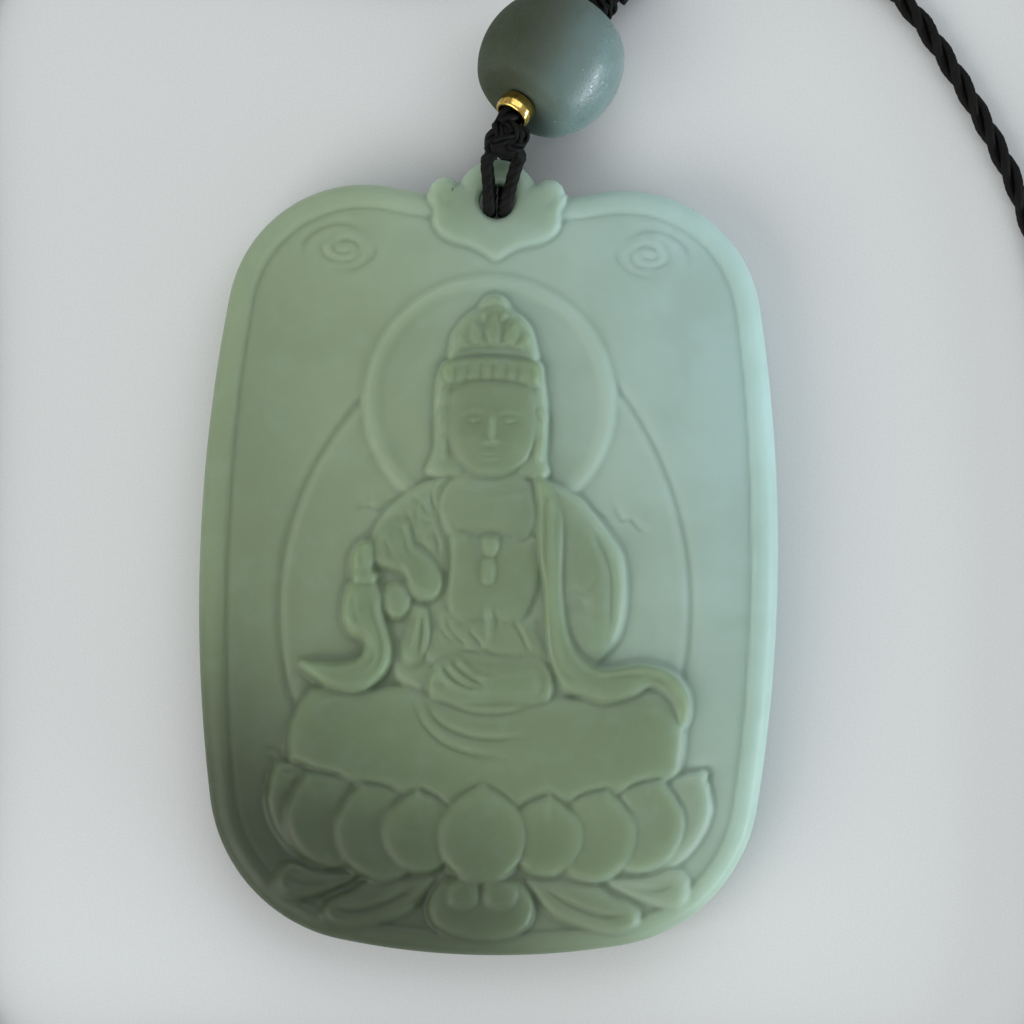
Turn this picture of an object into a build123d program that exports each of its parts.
"""Carved jade pendant on a cord, lying on its back.

Millimetres. The origin is the middle of the plaque's flat back, +Z is the way the carved face
looks, and +Y runs from the lotus seat to the tab that the cord hangs it by.
"""

import math
import os

from build123d import *

# Plaque outline: two bowed sides, a bowed foot and a dipped top, with round corners
plaque_width = 42.1
plaque_foot = 27.9
plaque_top = 27.1
side_bow_radius = 117.0
side_bow_height = -0.5
foot_bow_radius = 56.0
top_dip_radius = 40.8
upper_corner = 10.0
lower_corner = 12.0

# Plaque thickness, up from the flat back
border_level = 5.6
field_level = 5.1
tab_level = 5.8
front_edge_round = 2.0
back_edge_round = 1.2
border_width = 2.35

# Tab: a cloud shape that stands over the top edge, drilled for the cord
tab_apex = 29.9
tab_cusp = 22.7
tab_half_width = 4.9
tab_dome_radius = 3.0
tab_lobe_radius = 1.15
tab_lobe_reach = 3.8
tab_lobe_height = 27.4
tab_shoulder_radius = 0.9
hole_height = 26.9
hole_radius = 1.3
hole_edge_round = 0.35
back_scoop_radius = 15.0
back_scoop_depth = 1.9

# Raised halo behind the head and the pointed groove round the body
halo_radius = 9.0
halo_width = 1.0
halo_height = 12.4
body_groove_width = 0.6
body_groove_bow = 21.4
body_groove_half_width = 15.3
body_groove_height = -2.0
body_groove_depth = 0.2
halo_rise = 0.3

# Seated figure
figure_half_width = 15.0
figure_height = 35.7
figure_foot = -15.5
head_half_width = 3.3
head_half_height = 4.1
head_height = 10.6
hair_overhang = 0.65
head_rise = 1.35
crown_rise = 1.15
robe_rise = 1.1
chest_rise = 0.9
scarf_rise = 1.25
lap_rise = 1.3
leg_rise = 1.5
nose_rise = 0.12
hand_half_width = 0.95
hand_half_height = 2.6
lap_half_height = 1.9
soft_edge = 0.45
chest_corner = 1.0
robe_corner = 0.6
lap_corner = 0.7
scarf_corner = 0.25
knee_corner = 1.3

# Lotus seat
lotus_half_width = 16.6
lotus_height = 7.6
lotus_foot = -22.8
petal_rise = 1.35
petal_edge = 0.35
leaf_rise = 0.7
leaf_edge = 0.15
bud_radius = 3.85
bud_height = -23.4

# Scrolls in the two upper corners
scroll_reach = 11.0
scroll_height = 23.3
scroll_radius = 1.75
scroll_width = 0.55
scroll_rise = 0.25

# What hangs the plaque: strands, knot, spacer, bead, knot
fit = 0.05
strand_diameter = 1.0
strand_lift = 0.12
strand_spread = 0.53
strand_flare = 0.6
bail_knot_radius = 1.65
bail_knot_wraps = 3
bail_knot_core_share = 0.8
spacer_radius = 1.35
spacer_length = 1.4
spacer_round = 0.5
bead_radius = 5.2
bead_length = 8.2
bead_end_radius = 3.6
bead_shoulder = 1.5
bead_reach = 3.69
bead_rise = 7.05
bead_lean = 35.0
bead_tip = 26.0
bail_knot_lean = 13.6
bail_knot_tip = 12.7
thread_diameter = 1.6
bore_clearance = 0.15
top_knot_radius = 1.5
top_knot_length = 3.6
top_knot_wraps = 4

# Neck cord: the corners of its route from the top knot round to the same knot
cord_diameter = 1.6
cord_floor = cord_diameter / 2
strand_gap = 0.1
cord_route = [
    (12.9, 47.3),
    (19.4, 48.4),
    (27.4, 44.1),
    (34.1, 34.6),
    (38.9, 25.3),
    (41.9, 11.6),
    (42.8, -4.6),
    (42.4, -18.4),
    (43.1, -29.8),
    (39.8, -36.3),
    (29.4, -36.9),
    (12.7, -36.1),
    (-6.9, -36.7),
    (-23.6, -36.3),
    (-34.5, -37.8),
    (-38.4, -31.3),
    (-37.6, -18.9),
    (-38.3, -3.2),
    (-38.0, 12.3),
    (-38.8, 26.4),
    (-39.4, 39.1),
    (-35.6, 46.0),
    (-25.4, 44.9),
    (-15.2, 44.8),
    (-8.1, 43.4),
    (-0.3, 43.6),
    (2.9, 49.3),
    (-0.4, 54.9),
    (-8.4, 54.6),
    (-16.9, 51.4),
    (-27.3, 49.9),
    (-37.4, 48.4),
    (-42.6, 40.9),
    (-42.9, 26.6),
    (-42.0, 10.3),
    (-42.5, -6.4),
    (-41.7, -22.2),
    (-42.1, -34.4),
    (-36.1, -41.1),
    (-22.3, -41.4),
    (-5.1, -40.5),
    (12.9, -41.3),
    (29.3, -40.6),
    (40.8, -41.2),
    (47.3, -34.6),
    (46.9, -21.7),
    (47.5, -5.4),
    (46.8, 11.4),
    (47.2, 26.9),
    (46.6, 38.8),
    (41.2, 46.4),
    (31.4, 50.9),
    (21.8, 53.1),
    (13.3, 51.0),
]
corner_share = 0.45


def circle_at(x, y, radius):
    return Pos(x, y) * Circle(radius)


def plaque_outline(inset=0.0):
    """The slab's outline, or the same line moved inwards by inset."""
    half_width = plaque_width / 2 - inset
    side_radius = side_bow_radius - inset
    foot_radius = foot_bow_radius - inset
    dip_radius = top_dip_radius + inset
    left = circle_at(side_radius - half_width, side_bow_height, side_radius)
    right = circle_at(half_width - side_radius, side_bow_height, side_radius)
    foot = circle_at(0, foot_bow_radius - plaque_foot, foot_radius)
    dip = circle_at(0, plaque_top + top_dip_radius, dip_radius)
    outline = left & right & foot - dip
    corners = outline.vertices().sort_by(Axis.Y)
    outline = fillet(corners[:2], lower_corner - inset)
    corners = outline.vertices().sort_by(Axis.Y)
    return fillet(corners[-2:], upper_corner - inset)


def rounded(points, radius):
    """A closed outline through the points, with its corners rounded."""
    outline = make_face(Polyline(*points, close=True))
    return fillet(outline.vertices(), radius)


def upright(outline, bottom, top):
    """A prism of the outline between two levels."""
    return Pos(0, 0, bottom) * extrude(outline, top - bottom)


def domed(outline, middle, reach, edge, rise):
    """Relief on the field: highest over its middle, down to edge at reach from there."""
    drop = rise - edge
    radius = (reach**2 + drop**2) / (2 * drop)
    cap = Pos(middle[0], middle[1], field_level + rise - radius) * Sphere(radius)
    return upright(outline, field_level / 2, field_level + rise + fit) & cap


def ridged(outline, middle_y, half_height, edge, rise):
    """Relief on the field, rounded over like a lying log along X."""
    drop = rise - edge
    radius = (half_height**2 + drop**2) / (2 * drop)
    log = Rot(0, 90, 0) * Cylinder(radius, 3 * plaque_width)
    cap = Pos(0, middle_y, field_level + rise - radius) * log
    return upright(outline, field_level / 2, field_level + rise + fit) & cap


def figure_points(shares, side=1):
    """Points of the seated figure: shares of its half width and of its height above its foot."""
    return [(side * x * figure_half_width, figure_foot + y * figure_height) for x, y in shares]


def make_slab():
    slab = upright(plaque_outline(), 0, border_level)
    slab = fillet(slab.faces().sort_by(Axis.Z)[-1].edges(), front_edge_round)
    slab = fillet(slab.faces().sort_by(Axis.Z)[0].edges(), back_edge_round)
    field = upright(plaque_outline(border_width), field_level, 2 * border_level)
    return slab - field


def make_tab():
    """The cloud-shaped tab: a dome between two lobes above, a cusp below."""
    dome = circle_at(0, tab_apex - tab_dome_radius, tab_dome_radius)
    lobes = [circle_at(side * tab_lobe_reach, tab_lobe_height, tab_lobe_radius) for side in (-1, 1)]
    # x as a share of the half width, y as a share of the way from the cusp to the lobes
    shares = [(0.0, 0.0), (0.34, 0.24), (0.80, 0.36), (1.0, 0.62), (0.86, 0.96)]
    body_height = tab_lobe_height - tab_cusp
    right = [(x * tab_half_width, tab_cusp + y * body_height) for x, y in shares]
    left = [(-x, y) for x, y in reversed(right[1:])]
    body = make_face(Polyline(*right, *left, close=True))
    corners = [v for v in body.vertices() if v.Y > tab_cusp + 0.1]
    body = fillet(corners, tab_shoulder_radius)
    return upright(body + dome + lobes[0] + lobes[1], field_level / 3, tab_level)


def make_scoop():
    """The hollow behind the tab that leaves room for the strands."""
    return Pos(0, tab_apex, back_scoop_depth - back_scoop_radius) * Sphere(back_scoop_radius)


def make_hole():
    hole = Pos(0, hole_height, tab_level / 2) * Cylinder(hole_radius, 2 * tab_level)
    flare_length = hole_edge_round
    flare = Cone(hole_radius, hole_radius + 2 * flare_length, 2 * flare_length)
    return hole + Pos(0, hole_height, tab_level) * flare


def make_halo():
    ring = circle_at(0, halo_height, halo_radius) - circle_at(0, halo_height, halo_radius - halo_width)
    return upright(ring, field_level / 2, field_level + halo_rise)


def make_body_groove():
    """The pointed groove round the body, which the halo covers above and the seat below."""

    def almond(inset):
        reach = body_groove_bow - body_groove_half_width
        left = circle_at(reach, body_groove_height, body_groove_bow - inset)
        return left & circle_at(-reach, body_groove_height, body_groove_bow - inset)

    groove = almond(0) - almond(body_groove_width) - circle_at(0, halo_height, halo_radius + halo_width / 4)
    lotus_top = Pos(0, figure_foot - plaque_width / 2) * Rectangle(2 * plaque_width, plaque_width)
    return upright(groove - lotus_top, field_level - body_groove_depth, field_level + halo_rise)


def make_head():
    face = Pos(0, head_height) * Ellipse(head_half_width, head_half_height)
    hair_half_height = head_half_height + hair_overhang / 2
    hair_middle = head_height + hair_overhang
    hair = Pos(0, hair_middle) * Ellipse(head_half_width + hair_overhang, hair_half_height)
    middle = (0, head_height)
    reach = head_half_height + hair_overhang
    head = domed(face, middle, reach, soft_edge, head_rise)
    back = domed(hair, (0, hair_middle), reach, soft_edge / 2, head_rise - soft_edge / 2)
    # A small plain nose stands out of the face
    nose_length = head_half_height * 0.34
    nose_outline = Pos(0, head_height - nose_length * 0.45) * Ellipse(head_half_width * 0.13, nose_length)
    nose = upright(nose_outline, field_level, field_level + head_rise + nose_rise)
    return head + back + nose


def make_crown():
    shares = [(0.0, 1.0), (0.09, 0.975), (0.135, 0.93), (0.21, 0.915), (0.225, 0.865), (0.235, 0.84)]
    right = figure_points(shares)
    left = figure_points(shares[1:], -1)
    outline = make_face(Polyline(*right, *reversed(left), close=True))
    middle = figure_points([(0, 0.9)])[0]
    return domed(outline, middle, figure_half_width * 0.25, soft_edge, crown_rise)


def make_body():
    """Chest, robe over both shoulders, raised hand, lap and the scarf over the knees."""
    chest = [(0.19, 0.66), (0.27, 0.58), (0.27, 0.3), (0.14, 0.2)]
    chest_points = figure_points(chest) + list(reversed(figure_points(chest, -1)))
    chest_outline = rounded(chest_points, chest_corner)
    chest_middle = figure_points([(0, 0.45)])[0]
    chest_solid = domed(chest_outline, chest_middle, figure_height * 0.24, soft_edge, chest_rise)
    right_robe = [(0.22, 0.64), (0.35, 0.62), (0.52, 0.545), (0.63, 0.45)]
    right_robe += [(0.65, 0.36), (0.6, 0.26), (0.36, 0.2), (0.25, 0.4)]
    left_robe = [(0.22, 0.64), (0.40, 0.6), (0.52, 0.54), (0.6, 0.47)]
    left_robe += [(0.56, 0.36), (0.47, 0.2), (0.24, 0.2), (0.22, 0.4)]
    robe_middle = (0.42, 0.42)
    robes = []
    for side, shares in ((1, right_robe), (-1, left_robe)):
        outline = rounded(figure_points(shares, side), robe_corner)
        middle = figure_points([robe_middle], side)[0]
        robes.append(domed(outline, middle, figure_height * 0.24, soft_edge, robe_rise))
    hand_middle = figure_points([(0.62, 0.42)], -1)[0]
    hand = Pos(*hand_middle) * Ellipse(hand_half_width, hand_half_height)
    hand_solid = domed(hand, hand_middle, hand_half_height, soft_edge, robe_rise)
    lap = [(0.29, 0.255), (0.34, 0.225), (0.32, 0.175), (0.18, 0.16)]
    lap_outline = rounded(figure_points(lap) + list(reversed(figure_points(lap, -1))), lap_corner)
    lap_solid = ridged(lap_outline, figure_points([(0, 0.21)])[0][1], lap_half_height, soft_edge, lap_rise)
    return [chest_solid, *robes, hand_solid, lap_solid]


def make_scarf():
    """The scarf's two ends, from the arms out over the knees."""
    right = [(0.34, 0.5), (0.36, 0.34), (0.44, 0.27), (0.62, 0.25), (0.85, 0.255), (0.96, 0.2), (0.98, 0.13)]
    right += [(0.84, 0.205), (0.62, 0.175), (0.36, 0.2), (0.27, 0.33), (0.27, 0.5)]
    left = [(0.62, 0.25), (0.9, 0.255), (0.78, 0.2), (0.54, 0.185), (0.45, 0.21), (0.45, 0.32), (0.58, 0.36)]
    ends = []
    for side, shares in ((1, right), (-1, left)):
        outline = rounded(figure_points(shares, side), scarf_corner)
        middle = figure_points([(0.55, 0.25)], side)[0]
        ends.append(domed(outline, middle, figure_height * 0.3, soft_edge * 1.5, scarf_rise))
    return ends


def make_legs():
    """The crossed legs: one broad soft mass with rounded knees."""
    shares = [(0.0, 0.175), (0.4, 0.195), (0.85, 0.2), (0.97, 0.13)]
    shares += [(0.95, 0.05), (0.75, 0.01), (0.0, -0.015)]
    right = figure_points(shares)
    left = figure_points(shares[1:-1], -1)
    outline = rounded(right + list(reversed(left)), knee_corner)
    middle_y = figure_points([(0, 0.09)])[0][1]
    return ridged(outline, middle_y, figure_height * 0.13, soft_edge, leg_rise)


def petal_outline(x, y, half_width, half_height, lean):
    """A round petal with a small point at its top, leaning outwards."""
    tip = half_height * 1.06
    shoulder_x, shoulder_y = half_width * 0.62, half_height * 0.7
    point = make_face(Polyline((0, tip), (shoulder_x, shoulder_y), (-shoulder_x, shoulder_y), close=True))
    return Pos(x, y) * Rot(0, 0, lean) * (Ellipse(half_width, half_height) + point)


def make_lotus():
    """Petals in overlapping rows, with the tallest in the middle."""
    # x, y, half width, half height as shares of the seat's half width and height, rise share, lean
    petals = [
        (0.84, 0.55, 0.18, 0.5, 0.5, -24),
        (0.67, 0.55, 0.2, 0.52, 0.62, -14),
        (0.49, 0.5, 0.21, 0.54, 0.74, -8),
        (0.27, 0.52, 0.19, 0.52, 0.86, -3),
    ]
    pieces = []
    for x, y, half_width, half_height, rise, lean in petals:
        for side in (-1, 1):
            place = (side * x * lotus_half_width, lotus_foot + y * lotus_height)
            reach = half_height * lotus_height
            outline = petal_outline(*place, half_width * lotus_half_width, reach, side * lean)
            pieces.append(domed(outline, place, reach, petal_edge, petal_rise * rise))
    place = (0, lotus_foot + 0.53 * lotus_height)
    reach = 0.56 * lotus_height
    centre = petal_outline(*place, 0.19 * lotus_half_width, reach * 0.9, 0)
    pieces.append(domed(centre, place, reach, petal_edge, petal_rise))
    return pieces


def make_foot_leaves():
    """The bud under the middle petal and the curled leaves beside it."""
    bud_outline = Pos(0, bud_height) * Ellipse(bud_radius, bud_radius * 0.8)
    pieces = [domed(bud_outline, (0, bud_height), bud_radius, leaf_edge, leaf_rise + leaf_edge)]
    # x, y, half length, half height as shares of the seat's half width and height, turn
    leaves = [(0.75, 0.08, 0.19, 0.16, 8), (0.48, -0.2, 0.26, 0.22, -14)]
    for x, y, half_length, half_height, turn in leaves:
        for side in (-1, 1):
            place = (side * x * lotus_half_width, lotus_foot + y * lotus_height)
            leaf = Ellipse(half_length * lotus_half_width, half_height * lotus_height)
            outline = Pos(*place) * Rot(0, 0, side * turn) * leaf
            pieces.append(domed(outline, place, half_length * lotus_half_width, leaf_edge, leaf_rise))
    return pieces


def make_scrolls():
    """A small scroll in each upper corner: an open ring round a button."""
    pieces = []
    for side in (-1, 1):
        place = (side * scroll_reach, scroll_height)
        ring = circle_at(*place, scroll_radius) - circle_at(*place, scroll_radius - scroll_width)
        mouth = Pos(place[0] + side * scroll_radius, place[1]) * Rectangle(scroll_radius, scroll_width)
        button = circle_at(*place, scroll_width)
        for outline in (ring - mouth, button):
            pieces.append(upright(outline, field_level / 2, field_level + scroll_rise))
    return pieces


def make_plaque():
    relief = [make_halo(), make_head(), make_crown(), *make_body(), *make_scarf()]
    relief += [make_legs(), *make_lotus(), *make_foot_leaves(), *make_scrolls()]
    inside = upright(plaque_outline(border_width / 2), 0, 2 * border_level)
    plaque = make_slab() - make_body_groove()
    for piece in relief:
        plaque = plaque + (piece & inside)
    plaque = plaque + make_tab()
    return plaque - make_scoop() - make_hole()


def unit(lean, tip):
    """A way that leans lean degrees off +Y towards +X, and tips tip degrees down."""
    flat = math.cos(math.radians(tip))
    across = math.radians(lean)
    return Vector(flat * math.sin(across), flat * math.cos(across), -math.sin(math.radians(tip)))


def bead_profile_radius():
    """The radius of the arc that the bead's side is turned to."""
    drop = bead_radius - bead_end_radius
    return ((bead_length / 2) ** 2 + drop**2) / (2 * drop)


string = unit(bead_lean, bead_tip)
arc = bead_profile_radius()
bead_rest = arc + (bead_radius - arc) * math.cos(math.radians(bead_tip))
bead_centre = Vector(bead_reach, tab_apex + bead_rise, bead_rest)
spacer_centre = bead_centre - string * (bead_length / 2 + fit + spacer_length / 2)
top_knot_centre = bead_centre + string * (bead_length / 2 + fit + top_knot_length / 2)
knot_way = -unit(bail_knot_lean, bail_knot_tip)
bail_knot_centre = spacer_centre + knot_way * (spacer_length / 2 + bail_knot_radius + fit)


def along(point, way):
    """A plane at the point with its Z along way."""
    return Plane(origin=point, z_dir=way)


def make_bead():
    bore = (thread_diameter + bore_clearance) / 2
    half = bead_length / 2
    side = ThreePointArc((bead_end_radius, -half), (bead_radius, 0), (bead_end_radius, half))
    ends = Polyline((bead_end_radius, half), (0, half), (0, -half), (bead_end_radius, -half))
    profile = make_face(side + ends)
    profile = fillet([v for v in profile.vertices() if v.X > bore], bead_shoulder)
    bead = revolve(Plane.XZ * profile, Axis.Z) - Cylinder(bore, 2 * bead_length)
    return along(bead_centre, string) * bead


def make_spacer():
    bore = (thread_diameter + bore_clearance) / 2
    ring = Cylinder(spacer_radius, spacer_length)
    ring = fillet(ring.edges().filter_by(GeomType.CIRCLE), spacer_round)
    return along(spacer_centre, string) * (ring - Cylinder(bore, 2 * spacer_length))


def make_bail_knot():
    """Cord wound round itself: rings on a core, inside a ball of the knot's radius."""
    wrap_radius = bail_knot_radius / bail_knot_wraps
    knot = Sphere(bail_knot_radius * bail_knot_core_share)
    for i in range(bail_knot_wraps):
        level = (i - (bail_knot_wraps - 1) / 2) * 1.5 * wrap_radius
        turn = math.sqrt(max(bail_knot_radius - wrap_radius, wrap_radius) ** 2 - level**2)
        knot = knot + Pos(0, 0, level) * Torus(turn, wrap_radius)
    return along(bail_knot_centre, knot_way) * knot


def make_top_knot():
    wrap_radius = top_knot_length / top_knot_wraps / 2
    knot = Cylinder(top_knot_radius - wrap_radius, top_knot_length - wrap_radius)
    for i in range(top_knot_wraps):
        level = (i - (top_knot_wraps - 1) / 2) * 2 * wrap_radius
        knot = knot + Pos(0, 0, level) * Torus(top_knot_radius - wrap_radius, wrap_radius)
    return along(top_knot_centre, string) * knot


def knot_room():
    """What a strand's end is cut back from: both knots, with the fit round them."""
    ball = Pos(*bail_knot_centre) * Sphere(bail_knot_radius + fit)
    drum = along(top_knot_centre, string) * Cylinder(top_knot_radius + fit, top_knot_length + 2 * fit)
    return ball, drum


def make_thread():
    """The cord inside the spacer and the bead, from knot to knot."""
    ball, drum = knot_room()
    start = spacer_centre - string * (spacer_length + bail_knot_radius / 2)
    length = (top_knot_centre - start).length
    thread = along(start + string * (length / 2), string) * Cylinder(thread_diameter / 2, length)
    return (thread - ball - drum).solids().sort_by(SortBy.VOLUME)[-1]


def tube(points, radii, diameter, name):
    """A round tube along straight runs and tangent arcs, checked against its length."""
    path = FilletPolyline(*points, radius=radii)
    start = along(path @ 0, path % 0)
    solid = sweep(start * Circle(diameter / 2), path)
    section = math.pi * diameter**2 / 4
    print(name, "length", round(path.length, 1), "least radius", round(min(radii), 2))
    print(name, "volume over section times length", round(solid.volume / (section * path.length), 4))
    return solid


def make_bail_strand(side):
    """One strand: down over the tab's face, through the hole and up behind it."""
    reach = strand_diameter / 2 + strand_lift
    front = tab_level + reach
    back = back_scoop_depth - reach - strand_lift
    inner = side * strand_spread
    outer = side * strand_flare * bail_knot_radius
    knot = bail_knot_centre
    points = [
        (knot.X + outer, knot.Y - bail_knot_radius / 3, knot.Z - bail_knot_radius / 3),
        (inner, hole_height, front),
        (inner, hole_height, back),
        (inner, tab_apex + reach + strand_diameter, back),
        (knot.X + outer, knot.Y, knot.Z - bail_knot_radius / 3),
    ]
    edge_radius = strand_diameter
    strand = tube(points, [edge_radius, edge_radius, edge_radius], strand_diameter, "bail strand")
    strand = strand - knot_room()[0]
    return strand.solids().sort_by(SortBy.VOLUME)[-1]


def arc_radii(points):
    """Each corner's radius: a share of its shorter run over the tangent of half its turn."""
    radii = []
    for before, corner, after in zip(points, points[1:], points[2:]):
        arriving = Vector(*corner) - Vector(*before)
        leaving = Vector(*after) - Vector(*corner)
        turn = math.radians(arriving.get_angle(leaving))
        shorter = min(arriving.length, leaving.length)
        radii.append(corner_share * shorter / math.tan(turn / 2))
    return radii


def make_neck_cord():
    """The whole loop, from one side of the top knot's far end round to the other."""
    exit_middle = top_knot_centre + string * (top_knot_length / 2 + fit)
    across = Vector(math.cos(math.radians(bead_lean)), -math.sin(math.radians(bead_lean)), 0)
    apart = across * ((cord_diameter + strand_gap) / 2)
    height = max(exit_middle.Z, cord_floor)
    first = (exit_middle.X + apart.X, exit_middle.Y + apart.Y, height)
    last = (exit_middle.X - apart.X, exit_middle.Y - apart.Y, height)
    points = [first, *[(x, y, cord_floor) for x, y in cord_route], last]
    radii = arc_radii(points)
    print("cord radii", [round(r, 1) for r in radii])
    cord = tube(points, radii, cord_diameter, "neck cord")
    return (cord - knot_room()[1]).solids().sort_by(SortBy.VOLUME)[-1]


def main():
    os.makedirs("parts", exist_ok=True)
    nodes = {
        "plaque": make_plaque(),
        "bail_cord_left": make_bail_strand(-1),
        "bail_cord_right": make_bail_strand(1),
        "bail_knot": make_bail_knot(),
        "gold_spacer": make_spacer(),
        "jade_bead": make_bead(),
        "bead_cord": make_thread(),
        "top_knot": make_top_knot(),
        "neck_cord": make_neck_cord(),
    }
    for name, solid in nodes.items():
        export_step(solid, f"parts/{name}.step")


main()
